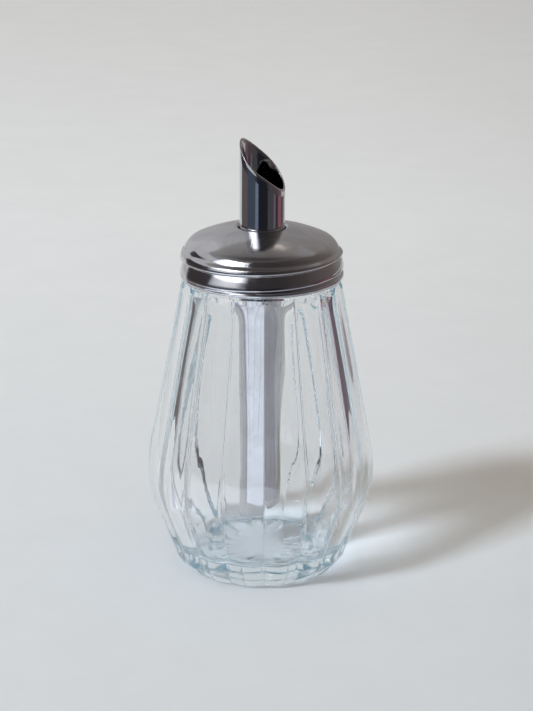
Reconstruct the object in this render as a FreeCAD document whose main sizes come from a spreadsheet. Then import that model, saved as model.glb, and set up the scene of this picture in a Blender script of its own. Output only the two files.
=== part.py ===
import FreeCAD, Part
import math
import os

import Sketcher
from FreeCAD import Placement, Rotation, Vector

# Sugar dispenser: a lobed glass jar, a dished steel screw lid and a steel
# tube that runs from just above the jar's floor, through the lid, to a
# slanted spout. Sizes are in millimetres, +Z is up and the jar stands at Z 0.

doc = FreeCAD.newDocument("sugar_dispenser")

# ---------------------------------------------------------------- sizes
# Every size that can be set by itself, with what it means.

DIMENSIONS = [
    # glass jar, outside
    ("lobe_count", 16, "upright lobes round the jar"),
    ("lobe_depth", 1.28, "depth of the creases between lobes at the widest height"),
    ("lobe_turn", 2.0, "degrees from the front to the first crease, to the right"),
    ("bulge_radius", 38.85, "lobe crown radius at the widest ring"),
    ("bulge_height", 36.0, "height of the widest ring"),
    ("bulge_rounding", 36.0, "upright rounding radius of the bulge"),
    ("heel_height", 5.8, "height of the rounded heel band"),
    ("heel_step", 9.25, "how far the top of the heel band stands in from the widest ring"),
    ("foot_step", 4.0, "how far the jar's foot stands in from the top of the heel band"),
    ("shoulder_height", 101.3, "height where the lobes end"),
    ("bevel_height", 1.2, "height of the small facet that ends each lobe"),
    ("crown_step", 0.95, "how far a lobe's crown stands out from the collar"),
    ("collar_height", 0.9, "height of the plain collar between the lobes and the lid"),
    ("collar_step", 0.6, "how far the collar stands out from the neck"),
    # glass jar, inside
    ("glass_wall", 3.4, "glass thickness at a lobe's crown"),
    ("neck_wall", 3.9, "glass thickness of the neck"),
    ("neck_step", 3.0, "height over which the inside narrows to the neck"),
    ("floor_height", 8.5, "glass thickness of the base"),
    ("floor_rounding", 9.0, "rounding between the floor and the inner wall"),
    # steel lid
    ("sheet", 0.5, "thickness of the lid's sheet"),
    ("skirt_radius", 26.3, "outside radius of the skirt between thread turns"),
    ("lid_height", 17.3, "height of the lid from its lower edge to its crown"),
    ("shoulder_rounding", 5.5, "outside rounding between the skirt and the dome"),
    ("dome_rounding", 56.0, "radius of the dome's crown"),
    ("edge_rounding", 0.9, "rounding where the dome turns down into its hole"),
    ("grip_depth", 5.0, "depth of the turned-down hole edge that grips the tube"),
    ("thread_height", 1.15, "how far the pressed thread stands out from the skirt"),
    ("thread_rounding", 1.6, "radius of the thread's rounded crest"),
    ("thread_pitch", 5.4, "rise of the thread for each turn"),
    ("thread_turns", 1.5, "turns of the thread"),
    ("thread_lift", 1.7, "height of the thread's start above the lid's lower edge"),
    ("seat_clearance", 0.3, "gap between the jar's neck and the lid"),
    # steel tube
    ("tube_radius", 7.6, "outside radius of the tube"),
    ("tube_wall", 0.6, "thickness of the tube"),
    ("tube_clearance", 0.2, "gap between the tube and the lid's grip"),
    ("inlet_gap", 7.9, "height of the tube's lower end above the jar's floor"),
    ("inlet_drop", 5.8, "fall of the slanted cut across the tube's lower end"),
    ("spout_rise", 29.4, "height of the spout's tip above the lid's crown"),
    ("spout_drop", 16.1, "fall of the slanted cut across the spout"),
    ("spout_turn", 20.0, "degrees from the right to the way that the spout pours, towards the front"),
]

sheet = doc.addObject("Spreadsheet::Sheet", "sizes")
for row, (name, amount, meaning) in enumerate(DIMENSIONS, start=1):
    sheet.set("A%d" % row, name)
    sheet.set("B%d" % row, str(amount))
    sheet.set("C%d" % row, meaning)
    sheet.setAlias("B%d" % row, name)
doc.recompute()


class Size:
    """A length that carries the sheet formula it comes from."""

    def __init__(self, value, formula):
        self.value = value
        self.formula = formula

    def __add__(self, other):
        return Size(self.value + other.value, "(%s + %s)" % (self.formula, other.formula))

    def __sub__(self, other):
        return Size(self.value - other.value, "(%s - %s)" % (self.formula, other.formula))

    def __mul__(self, factor):
        return Size(self.value * factor.value, "(%s * %s)" % (self.formula, factor.formula))

    def __truediv__(self, divisor):
        return Size(self.value / divisor.value, "(%s / %s)" % (self.formula, divisor.formula))


def size(name):
    """The named size, as a number and as a formula."""
    return Size(float(sheet.get(name)), "sizes.%s" % name)


def leg(longest, other):
    """The third side of a right-angled triangle, from its longest side and another."""
    length = math.sqrt(longest.value ** 2 - other.value ** 2)
    return Size(length, "sqrt(%s ^ 2 - %s ^ 2)" % (longest.formula, other.formula))


NOTHING = Size(0.0, "0")
HALF = Size(0.5, "0.5")


# ---------------------------------------------------------------- worked-out sizes

# The lid's skirt sets the neck, and the neck sets the collar, the mouth and the lobes' end.
sheet_inside = size("skirt_radius") - size("sheet")
neck_radius = sheet_inside - size("seat_clearance")
mouth_radius = neck_radius - size("neck_wall")
collar_radius = neck_radius + size("collar_step")
shoulder_radius = collar_radius + size("crown_step")

# The jar's lower end steps in from its widest ring.
heel_radius = size("bulge_radius") - size("heel_step")
foot_radius = heel_radius - size("foot_step")

# Heights are stacked from the jar's lobes up to the spout.
bevel_bottom = size("shoulder_height") - size("bevel_height")
collar_top = size("shoulder_height") + size("collar_height")
lid_bottom = collar_top + size("seat_clearance")
dome_top = lid_bottom + size("lid_height")
tube_top = dome_top + size("spout_rise")
tube_bottom = size("floor_height") + size("inlet_gap")

# The lid's rounded shoulder touches both the skirt and the dome's crown circle.
# The neck's lip follows the inside of that shoulder, one clearance away.
grip_radius = size("tube_radius") + size("tube_clearance")
hole_edge_radius = grip_radius + size("edge_rounding")
round_across = size("skirt_radius") - size("shoulder_rounding")
crown_centre = dome_top - leg(size("dome_rounding"), hole_edge_radius)
crown_reach = size("dome_rounding") - size("shoulder_rounding")
round_up = crown_centre + leg(crown_reach, round_across)
lip_rounding = size("shoulder_rounding") - size("sheet") - size("seat_clearance")
lip_top = round_up + lip_rounding


# ---------------------------------------------------------------- sketch helpers

def origin_plane(body, role):
    for feature in body.Origin.OriginFeatures:
        if feature.Role == role:
            return feature
    raise RuntimeError("no plane " + role)


def new_sketch(body, name, role):
    sketch = body.newObject("Sketcher::SketchObject", name)
    sketch.AttachmentSupport = (origin_plane(body, role), [""])
    sketch.MapMode = "FlatFace"
    return sketch


def bind(sketch, constraint, formula):
    """Adds a constraint whose value follows the sheet."""
    index = sketch.addConstraint(constraint)
    sketch.setExpression("Constraints[%d]" % index, formula)


def pin_point(sketch, geometry, vertex, across, up):
    """Holds a sketch point at a distance across and up from the origin."""
    if across.value == 0.0:
        sketch.addConstraint(Sketcher.Constraint("PointOnObject", geometry, vertex, -2))
    else:
        bind(sketch, Sketcher.Constraint("DistanceX", -1, 1, geometry, vertex, across.value), across.formula)
    if up.value == 0.0:
        sketch.addConstraint(Sketcher.Constraint("PointOnObject", geometry, vertex, -1))
    else:
        bind(sketch, Sketcher.Constraint("DistanceY", -1, 1, geometry, vertex, up.value), up.formula)


def end_near(sketch, geometry, point):
    """Which end of a line or arc, 1 or 2, lies at the point."""
    start = sketch.getPoint(geometry, 1)
    end = sketch.getPoint(geometry, 2)
    return 1 if (start - point).Length < (end - point).Length else 2


def arc_between(start, end, radius, side):
    """An arc from start to end; side 1 bows it to the left of the way, -1 to the right."""
    chord = end - start
    sagitta = radius - math.sqrt(max(radius ** 2 - (chord.Length / 2) ** 2, 0.0))
    left = Vector(-chord.y, chord.x, 0).normalize()
    middle = (start + end) * 0.5 + left * (sagitta * side)
    return Part.Arc(start, middle, end)


def closed_profile(sketch, corners, arcs):
    """Joins corners (across, up) by lines, or by an arc where arcs gives (radius, side)."""
    points = [Vector(across.value, up.value, 0) for across, up in corners]
    edges = []
    for index, start in enumerate(points):
        end = points[(index + 1) % len(points)]
        if index in arcs:
            radius, side = arcs[index]
            edges.append(sketch.addGeometry(arc_between(start, end, radius.value, side), False))
        else:
            edges.append(sketch.addGeometry(Part.LineSegment(start, end), False))
    for index, point in enumerate(points):
        here = edges[index]
        before = edges[index - 1]
        vertex = end_near(sketch, here, point)
        vertex_before = end_near(sketch, before, point)
        sketch.addConstraint(Sketcher.Constraint("Coincident", before, vertex_before, here, vertex))
        pin_point(sketch, here, vertex, *corners[index])
    for index, (radius, side) in arcs.items():
        bind(sketch, Sketcher.Constraint("Radius", edges[index], radius.value), radius.formula)


def revolve(body, sketch, name):
    turned = body.newObject("PartDesign::Revolution", name)
    turned.Profile = sketch
    turned.ReferenceAxis = (sketch, ["V_Axis"])
    turned.Angle = 360.0
    sketch.Visibility = False
    return turned


# ---------------------------------------------------------------- jar, lobed outside

def tangent_point(outside, centre, radius, side):
    """Where the line from a point outside a circle touches it; side picks the upper or lower one."""
    away = outside - centre
    turn = math.acos(radius / away.Length) * side
    along = Vector(away.x, away.y, 0).normalize()
    return centre + Vector(
        along.x * math.cos(turn) - along.y * math.sin(turn),
        along.x * math.sin(turn) + along.y * math.cos(turn),
        0,
    ) * radius


def upright_profile():
    """Lobe crown radius against height: lower taper, rounded bulge, upper cone."""
    heel = Vector(heel_radius.value, sheet.heel_height, 0)
    shoulder = Vector(shoulder_radius.value, sheet.shoulder_height, 0)
    centre = Vector(sheet.bulge_radius - sheet.bulge_rounding, sheet.bulge_height, 0)
    low = tangent_point(heel, centre, sheet.bulge_rounding, 1)
    high = tangent_point(shoulder, centre, sheet.bulge_rounding, -1)
    low_angle = math.atan2(low.y - centre.y, low.x - centre.x)
    high_angle = math.atan2(high.y - centre.y, high.x - centre.x)
    steps = 6
    bulge = []
    for step in range(steps + 1):
        angle = low_angle + (high_angle - low_angle) * step / steps
        bulge.append(centre + Vector(math.cos(angle), math.sin(angle), 0) * sheet.bulge_rounding)
    return heel, bulge, shoulder


def lobed_ring(radius, height):
    """A closed wire of equal arcs that meet in creases; the first crease is lobe_turn right of -Y."""
    count = int(sheet.lobe_count)
    first = math.radians(sheet.lobe_turn) - math.pi / 2
    crease_radius = radius * (1 - sheet.lobe_depth / sheet.bulge_radius)
    edges = []
    for lobe in range(count):
        angles = [first + 2 * math.pi * (lobe + part) / count for part in (0, 0.5, 1)]
        radii = [crease_radius, radius, crease_radius]
        points = [
            Vector(length * math.cos(angle), length * math.sin(angle), height)
            for length, angle in zip(radii, angles)
        ]
        edges.append(Part.Arc(*points).toShape())
    return Part.Wire(edges)


def lobed_solid(rings, ruled):
    """A solid through lobed rings given as (radius, height)."""
    return Part.makeLoft([lobed_ring(radius, height) for radius, height in rings], True, ruled)


def lobed_outside():
    """The jar's lobed body as one solid: heel band, lower taper, bulge and cone."""
    heel, bulge, shoulder = upright_profile()
    heel_steps = 5
    heel_rings = []
    for step in range(heel_steps + 1):
        share = step / heel_steps
        across = foot_radius.value + sheet.foot_step * math.sin(share * math.pi / 2)
        heel_rings.append((across, share * sheet.heel_height))
    taper = lobed_solid([(heel.x, heel.y), (bulge[0].x, bulge[0].y)], True)
    middle = lobed_solid([(point.x, point.y) for point in bulge], False)
    cone = lobed_solid([(bulge[-1].x, bulge[-1].y), (shoulder.x, shoulder.y)], True)
    return lobed_solid(heel_rings, False).multiFuse([taper, middle, cone])


glass_outside = doc.addObject("Part::Feature", "glass_outside")
glass_outside.Shape = lobed_outside()

# The small facet that ends each lobe is what a shallow cone leaves of it.
bevel_body = doc.addObject("PartDesign::Body", "bevel_cutter")
bevel_sketch = new_sketch(bevel_body, "bevel_profile", "XZ_Plane")
beyond = size("bulge_radius")
closed_profile(
    bevel_sketch,
    [
        (collar_radius, size("shoulder_height")),
        (shoulder_radius, bevel_bottom),
        (beyond, bevel_bottom),
        (beyond, collar_top),
        (collar_radius, collar_top),
    ],
    {},
)
revolve(bevel_body, bevel_sketch, "bevel_ring")

lobes = doc.addObject("Part::Cut", "lobes")
lobes.Base = glass_outside
lobes.Tool = bevel_body

# ---------------------------------------------------------------- jar, neck and inside

neck_body = doc.addObject("PartDesign::Body", "neck")
neck_sketch = new_sketch(neck_body, "neck_profile", "XZ_Plane")
closed_profile(
    neck_sketch,
    [
        (NOTHING, bevel_bottom),
        (collar_radius, bevel_bottom),
        (collar_radius, collar_top),
        (neck_radius, collar_top),
        (neck_radius, round_up),
        (round_across, lip_top),
        (NOTHING, lip_top),
    ],
    {4: (lip_rounding, -1)},
)
revolve(neck_body, neck_sketch, "neck_solid")

jar_solid = doc.addObject("Part::Fuse", "jar_solid")
jar_solid.Base = lobes
jar_solid.Tool = neck_body


def inside_profile(sketch):
    """Half section of the hollow: floor, rounding, lower wall, bulge, upper wall, neck."""
    wall = sheet.glass_wall
    heel = Vector(heel_radius.value - wall, sheet.heel_height, 0)
    shoulder = Vector(shoulder_radius.value - wall, sheet.shoulder_height, 0)
    centre = Vector(sheet.bulge_radius - sheet.bulge_rounding, sheet.bulge_height, 0)
    inner_rounding = size("bulge_rounding") - size("glass_wall")
    low = tangent_point(heel, centre, inner_rounding.value, 1)
    high = tangent_point(shoulder, centre, inner_rounding.value, -1)
    lean = (low - heel).normalize()
    half_turn = math.atan2(lean.y, lean.x) / 2
    reach = sheet.floor_rounding * math.tan(half_turn)
    foot = heel + lean * ((sheet.floor_height - heel.y) / lean.y)
    mouth = Vector(mouth_radius.value, sheet.shoulder_height + sheet.neck_step, 0)
    top = lip_top + size("neck_step")

    floor_middle = Vector(0, sheet.floor_height, 0)
    floor_end = foot - Vector(reach, 0, 0)
    wall_start = foot + lean * reach
    middle_angle = (math.atan2((low - centre).y, (low - centre).x) + math.atan2((high - centre).y, (high - centre).x)) / 2
    bulge_middle = centre + Vector(math.cos(middle_angle), math.sin(middle_angle), 0) * inner_rounding.value
    into_corner = (floor_end - foot).normalize() + (wall_start - foot).normalize()
    round_centre = foot + into_corner.normalize() * (sheet.floor_rounding / math.cos(half_turn))
    round_middle = round_centre - into_corner.normalize() * sheet.floor_rounding

    shapes = [
        Part.LineSegment(floor_middle, floor_end),
        Part.Arc(floor_end, round_middle, wall_start),
        Part.LineSegment(wall_start, low),
        Part.Arc(low, bulge_middle, high),
        Part.LineSegment(high, shoulder),
        Part.LineSegment(shoulder, mouth),
        Part.LineSegment(mouth, Vector(mouth.x, top.value, 0)),
        Part.LineSegment(Vector(mouth.x, top.value, 0), Vector(0, top.value, 0)),
        Part.LineSegment(Vector(0, top.value, 0), floor_middle),
    ]
    joints = [floor_end, wall_start, low, high, shoulder, mouth]
    joints += [Vector(mouth.x, top.value, 0), Vector(0, top.value, 0), floor_middle]
    edges = [sketch.addGeometry(shape, False) for shape in shapes]
    smooth = [0, 1, 2, 3]
    for index, point in enumerate(joints):
        first = edges[index]
        second = edges[(index + 1) % len(edges)]
        kind = "Tangent" if index in smooth else "Coincident"
        ends = (first, end_near(sketch, first, point), second, end_near(sketch, second, point))
        sketch.addConstraint(Sketcher.Constraint(kind, *ends))

    pin_point(sketch, edges[0], end_near(sketch, edges[0], floor_middle), NOTHING, size("floor_height"))
    sketch.addConstraint(Sketcher.Constraint("Horizontal", edges[0]))
    bind(sketch, Sketcher.Constraint("Radius", edges[1], sheet.floor_rounding), "sizes.floor_rounding")
    bind(sketch, Sketcher.Constraint("Radius", edges[3], inner_rounding.value), inner_rounding.formula)
    pin_point(sketch, edges[3], 3, size("bulge_radius") - size("bulge_rounding"), size("bulge_height"))
    pin_point(sketch, edges[4], 2, shoulder_radius - size("glass_wall"), size("shoulder_height"))
    pin_point(sketch, edges[5], 2, mouth_radius, size("shoulder_height") + size("neck_step"))
    pin_point(sketch, edges[6], 2, mouth_radius, top)
    pin_point(sketch, edges[7], 2, NOTHING, top)
    guide = sketch.addGeometry(Part.Point(heel), True)
    pin_point(sketch, guide, 1, heel_radius - size("glass_wall"), size("heel_height"))
    sketch.addConstraint(Sketcher.Constraint("PointOnObject", guide, 1, edges[2]))


hollow_body = doc.addObject("PartDesign::Body", "hollow")
hollow_sketch = new_sketch(hollow_body, "hollow_profile", "XZ_Plane")
inside_profile(hollow_sketch)
revolve(hollow_body, hollow_sketch, "hollow_solid")

jar = doc.addObject("Part::Cut", "jar_piece")
jar.Base = jar_solid
jar.Tool = hollow_body
jar.Label = "jar"

# ---------------------------------------------------------------- lid

# The sheet runs from the turned-down hole edge over the dome and the rounded
# shoulder, down the skirt to the curl. Both faces of it are one closed outline.
edge_up = dome_top - size("edge_rounding")
grip_bottom = dome_top - size("grip_depth")
inner_crown = size("dome_rounding") - size("sheet")
inner_round = (
    round_across * inner_crown / crown_reach,
    crown_centre + (round_up - crown_centre) * inner_crown / crown_reach,
)
outer_round = (
    round_across * size("dome_rounding") / crown_reach,
    crown_centre + (round_up - crown_centre) * size("dome_rounding") / crown_reach,
)
thread_crest = size("skirt_radius") + size("thread_height")
curl_radius = (thread_crest - sheet_inside) * HALF
curl_across = sheet_inside + curl_radius
curl_up = lid_bottom + curl_radius
skirt_foot = curl_up + leg(curl_radius, curl_across - size("skirt_radius"))

lid_body = doc.addObject("PartDesign::Body", "lid_sheet")
lid_sketch = new_sketch(lid_body, "lid_profile", "XZ_Plane")
closed_profile(
    lid_sketch,
    [
        (grip_radius, grip_bottom),
        (grip_radius, edge_up),
        (hole_edge_radius, dome_top),
        outer_round,
        (size("skirt_radius"), round_up),
        (size("skirt_radius"), skirt_foot),
        (thread_crest, curl_up),
        (curl_across, lid_bottom),
        (sheet_inside, curl_up),
        (sheet_inside, round_up),
        inner_round,
        (hole_edge_radius, crown_centre + leg(inner_crown, hole_edge_radius)),
        (grip_radius + size("sheet"), edge_up),
        (grip_radius + size("sheet"), grip_bottom),
    ],
    {
        1: (size("edge_rounding"), 1),
        2: (size("dome_rounding"), 1),
        3: (size("shoulder_rounding"), 1),
        5: (curl_radius, 1),
        6: (curl_radius, 1),
        7: (curl_radius, 1),
        9: (size("shoulder_rounding") - size("sheet"), -1),
        10: (inner_crown, -1),
        11: (size("edge_rounding") - size("sheet"), -1),
    },
)
revolve(lid_body, lid_sketch, "lid_shell")


# The space under the sheet, which trims the thread's bar to what stands outside it.
under_body = doc.addObject("PartDesign::Body", "under_sheet")
under_sketch = new_sketch(under_body, "under_profile", "XZ_Plane")
closed_profile(
    under_sketch,
    [
        (NOTHING, lid_bottom - size("thread_rounding")),
        (sheet_inside, lid_bottom - size("thread_rounding")),
        (sheet_inside, round_up),
        inner_round,
        (NOTHING, crown_centre + inner_crown),
    ],
    {
        2: (size("shoulder_rounding") - size("sheet"), -1),
        3: (inner_crown, -1),
    },
)
revolve(under_body, under_sketch, "under_solid")


def thread_bar(name, rounding, setback):
    """A round bar along the thread's right-handed helix; setback shortens both ends, in degrees."""
    across = thread_crest - size("thread_rounding")
    skipped = size("thread_pitch") * setback / Size(360.0, "360")
    start = lid_bottom + size("thread_lift") + skipped

    spine = doc.addObject("Part::Helix", name + "_helix")
    spine.setExpression("Radius", across.formula)
    spine.setExpression("Pitch", size("thread_pitch").formula)
    length = size("thread_pitch") * size("thread_turns") - skipped - skipped
    spine.setExpression("Height", length.formula)
    spine.setExpression("Placement.Base.z", start.formula)
    spine.Placement.Rotation = Rotation(Vector(0, 0, 1), 180.0)
    spine.setExpression("Placement.Rotation.Angle", "180 + " + setback.formula)

    section = doc.addObject("Part::Circle", name + "_section")
    section.setExpression("Radius", rounding.formula)
    turn = "180 + " + setback.formula
    section.setExpression("Placement.Base.x", "%s * cos(%s)" % (across.formula, turn))
    section.setExpression("Placement.Base.y", "%s * sin(%s)" % (across.formula, turn))
    section.setExpression("Placement.Base.z", start.formula)
    section.Placement.Rotation = Rotation(Vector(1, 0, 0), 90.0)

    bar = doc.addObject("Part::Sweep", name + "_bar")
    bar.Sections = [section]
    bar.Spine = (spine, [])
    bar.Solid = True
    bar.Frenet = True
    return bar


ridge = thread_bar("ridge", size("thread_rounding"), NOTHING)
groove_setback = Size(2.5, "2.5")
groove = thread_bar("groove", size("thread_rounding") - size("sheet"), groove_setback)

outside_ridge = doc.addObject("Part::Cut", "outside_ridge")
outside_ridge.Base = ridge
outside_ridge.Tool = under_body

ridged = doc.addObject("Part::Fuse", "ridged_sheet")
ridged.Base = lid_body
ridged.Tool = outside_ridge

lid = doc.addObject("Part::Cut", "lid_piece")
lid.Base = ridged
lid.Tool = groove
lid.Label = "lid"

# ---------------------------------------------------------------- tube

tube = doc.addObject("PartDesign::Body", "tube_body")
tube.Label = "tube"

ring_sketch = new_sketch(tube, "ring", "XY_Plane")
ring_sketch.setExpression("AttachmentOffset.Base.z", tube_bottom.formula)
for radius in (size("tube_radius"), size("tube_radius") - size("tube_wall")):
    circle = ring_sketch.addGeometry(Part.Circle(Vector(0, 0, 0), Vector(0, 0, 1), radius.value), False)
    ring_sketch.addConstraint(Sketcher.Constraint("Coincident", circle, 3, -1, 1))
    bind(ring_sketch, Sketcher.Constraint("Radius", circle, radius.value), radius.formula)

pipe = tube.newObject("PartDesign::Pad", "pipe")
pipe.Profile = ring_sketch
pipe.setExpression("Length", (tube_top - tube_bottom).formula)


def slanted_cut(name, left, drop, away):
    """Cuts the tube's end along a line that starts at the sketch's left and falls by drop at its right."""
    sketch = new_sketch(tube, name + "_outline", "XZ_Plane")
    radius = size("tube_radius")
    closed_profile(
        sketch,
        [
            (NOTHING - radius, left),
            (radius + radius + radius, left - drop - drop),
            (radius + radius + radius, left + away),
            (NOTHING - radius, left + away),
        ],
        {},
    )
    pocket = tube.newObject("PartDesign::Pocket", name)
    pocket.Profile = sketch
    pocket.Type = "ThroughAll"
    pocket.Midplane = True
    sketch.Visibility = False
    return pocket


doc.recompute()
whole_pipe = pipe.Shape.Volume
spout_cut = slanted_cut("spout_cut", tube_top, size("spout_drop"), size("tube_radius"))
# The spout pours to the right and a little to the front, so its sketch is turned about the upright axis.
spout_outline = spout_cut.Profile[0]
spout_outline.AttachmentOffset = Placement(Vector(0, 0, 0), Rotation(Vector(0, -1, 0), sheet.spout_turn))
spout_outline.setExpression("AttachmentOffset.Rotation.Angle", "sizes.spout_turn")
inlet_away = NOTHING - size("inlet_drop") - size("inlet_drop") - size("tube_radius")
slanted_cut("inlet_cut", tube_bottom, NOTHING - size("inlet_drop"), inlet_away)

# ---------------------------------------------------------------- check and write

doc.recompute()
for item in doc.Objects:
    if "Invalid" in item.State or "Error" in item.State:
        raise RuntimeError("not built: " + item.Label)
if tube.Shape.Volume >= whole_pipe:
    raise RuntimeError("the slanted cuts took nothing off the tube")

os.makedirs("parts", exist_ok=True)
for piece in (jar, lid, tube):
    if piece.Shape.isNull() or not piece.Shape.isValid() or len(piece.Shape.Solids) != 1:
        raise RuntimeError("not one valid solid: " + piece.Label)
    piece.Shape.exportStep("parts/%s.step" % piece.Label)
    print("%s: %.0f cubic mm" % (piece.Label, piece.Shape.Volume))
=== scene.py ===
# %% [markdown]
# # A glass sugar dispenser
#
# The object is an empty pouring jar from a cafe table: clear moulded glass with sixteen
# upright lobes, a screw lid pressed from thin stainless steel, and one polished tube that is
# the slanted spout above the lid and the dosing tube inside the glass.
#
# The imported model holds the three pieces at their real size. This lesson dresses them: each
# piece gets a smooth surface worked out from the same few sizes, and a finish of its own.

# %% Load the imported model
import math
import bpy
import numpy as np
from mathutils import Matrix, Vector


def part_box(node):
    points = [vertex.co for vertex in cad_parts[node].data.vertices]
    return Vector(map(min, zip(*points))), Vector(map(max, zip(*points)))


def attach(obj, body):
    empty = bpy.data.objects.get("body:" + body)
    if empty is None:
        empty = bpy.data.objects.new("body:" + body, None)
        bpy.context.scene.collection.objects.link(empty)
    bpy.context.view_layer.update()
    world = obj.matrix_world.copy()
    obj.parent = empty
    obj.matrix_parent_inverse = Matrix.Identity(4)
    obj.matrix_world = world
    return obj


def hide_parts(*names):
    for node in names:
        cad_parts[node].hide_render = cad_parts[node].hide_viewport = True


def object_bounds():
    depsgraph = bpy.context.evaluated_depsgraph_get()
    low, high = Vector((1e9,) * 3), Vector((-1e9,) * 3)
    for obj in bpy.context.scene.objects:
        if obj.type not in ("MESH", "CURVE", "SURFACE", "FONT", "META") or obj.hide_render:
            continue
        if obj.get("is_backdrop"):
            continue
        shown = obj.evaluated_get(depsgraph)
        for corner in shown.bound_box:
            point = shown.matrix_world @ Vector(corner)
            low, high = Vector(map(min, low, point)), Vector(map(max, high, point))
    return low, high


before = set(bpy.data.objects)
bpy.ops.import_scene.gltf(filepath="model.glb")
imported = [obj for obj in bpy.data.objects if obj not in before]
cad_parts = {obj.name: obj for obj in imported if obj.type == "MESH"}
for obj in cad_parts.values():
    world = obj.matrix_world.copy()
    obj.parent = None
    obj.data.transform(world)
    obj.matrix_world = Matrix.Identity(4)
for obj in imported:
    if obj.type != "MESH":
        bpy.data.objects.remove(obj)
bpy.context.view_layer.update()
MM = 0.001

# %% [markdown]
# ## Sizes
#
# The driving sizes are those of the real dispenser in millimetres. Heights and radii that the
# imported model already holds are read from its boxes, so the dressed pieces stay in step.

# %% Sizes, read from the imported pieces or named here
jar_low, jar_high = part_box("jar")
lid_low, lid_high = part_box("lid")
tube_low, tube_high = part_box("tube")

# The lobes: their depth is a share of the radius, and their turn is in degrees.
LOBES = 16
LOBE_DEPTH = 0.033
LOBE_TURN = 2.0

# The outside of the jar, from the foot up.
FOOT_RADIUS = 25.6
HEEL_HEIGHT = 5.8
HEEL_RADIUS = 29.6
BULGE_RADIUS = 38.85
BULGE_HEIGHT = 36.0
BULGE_ROUNDING = 36.0
SHOULDER_HEIGHT = 101.3
SHOULDER_RADIUS = 27.05
BEVEL_HEIGHT = 1.2
COLLAR_RADIUS = 26.1
COLLAR_TOP = 102.2
NECK_RADIUS = 25.5
MOUTH_RADIUS = 21.6
LIP_ROUNDING = 4.7

# The inside and the base. The inner lobes have a share of the outer ones' depth. They fade out
# below the shoulder and towards the middle of the floor, which is plain out to a radius.
GLASS_WALL = 3.4
NECK_STEP = 3.0
FLOOR_HEIGHT = 8.5
FLOOR_ROUNDING = 6.0
FLOOR_PLAIN = 14.0
PUNT_DEPTH = 0.9
INNER_LOBES = 0.9
INNER_FADE = 8.0

lid_bottom = lid_low.z / MM
dome_top = lid_high.z / MM
spout_tip = tube_high.z / MM
inlet_tip = tube_low.z / MM
tube_radius = tube_high.x / MM
lip_top = jar_high.z / MM
print("jar height", round(lip_top, 2))
print("lid from", round(lid_bottom, 2), "to", round(dome_top, 2))
print("tube from", round(inlet_tip, 2), "to", round(spout_tip, 2))


# %% [markdown]
# ## Surfaces on a grid
#
# A turned or pressed piece is an outline carried round an axis. On a computer it is a grid:
# one direction runs along the outline, the other round the axis, and every point of the grid
# comes from one formula. Numpy works out the whole grid at once, which is quicker and easier
# to change than modelling by hand.

# %% Outline helpers
def arc(centre, radius, first, last, count):
    """Points on a circle: centre + radius * (cos, sin) of angles from first to last degrees."""
    angle = np.radians(np.linspace(first, last, count))
    return np.stack([centre[0] + radius * np.cos(angle), centre[1] + radius * np.sin(angle)], 1)


def run(start, end, count):
    """Points evenly spaced on the straight line from start to end."""
    share = np.linspace(0.0, 1.0, count)[:, None]
    return np.asarray(start) * (1 - share) + np.asarray(end) * share


def even(points, spacing):
    """The same outline with evenly spaced points, found by its length so far."""
    points = points[np.r_[True, np.linalg.norm(np.diff(points, axis=0), axis=1) > 1e-7]]
    length = np.r_[0.0, np.cumsum(np.linalg.norm(np.diff(points, axis=0), axis=1))]
    count = max(int(round(length[-1] / spacing)), 1) + 1
    at = np.linspace(0.0, length[-1], count)
    return np.stack([np.interp(at, length, points[:, axis]) for axis in (0, 1)], 1)


def soften(points, rounds):
    """Rounds corners: each inner point moves to the mean of itself and its two neighbours."""
    for _ in range(rounds):
        points = np.concatenate([
            points[:1],
            0.25 * points[:-2] + 0.5 * points[1:-1] + 0.25 * points[2:],
            points[-1:],
        ])
    return points


def touch(outside, centre, radius, side):
    """Where the line from an outside point touches a circle; side is 1 or -1."""
    away = np.asarray(outside) - centre
    turn = math.atan2(away[1], away[0]) + side * math.acos(radius / np.linalg.norm(away))
    return np.asarray(centre) + radius * np.array([math.cos(turn), math.sin(turn)])


# %% Grid to mesh
def grid_faces(rows, columns, closed_rows):
    """Quads between neighbouring rows and columns; columns wrap round, rows only if closed."""
    last = rows if closed_rows else rows - 1
    row = np.arange(last)[:, None]
    column = np.arange(columns)[None, :]
    above = (row + 1) % rows
    beside = (column + 1) % columns
    quads = [(row, column), (row, beside), (above, beside), (above, column)]
    return np.stack([(r * columns + c).ravel() for r, c in quads], 1)


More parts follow.
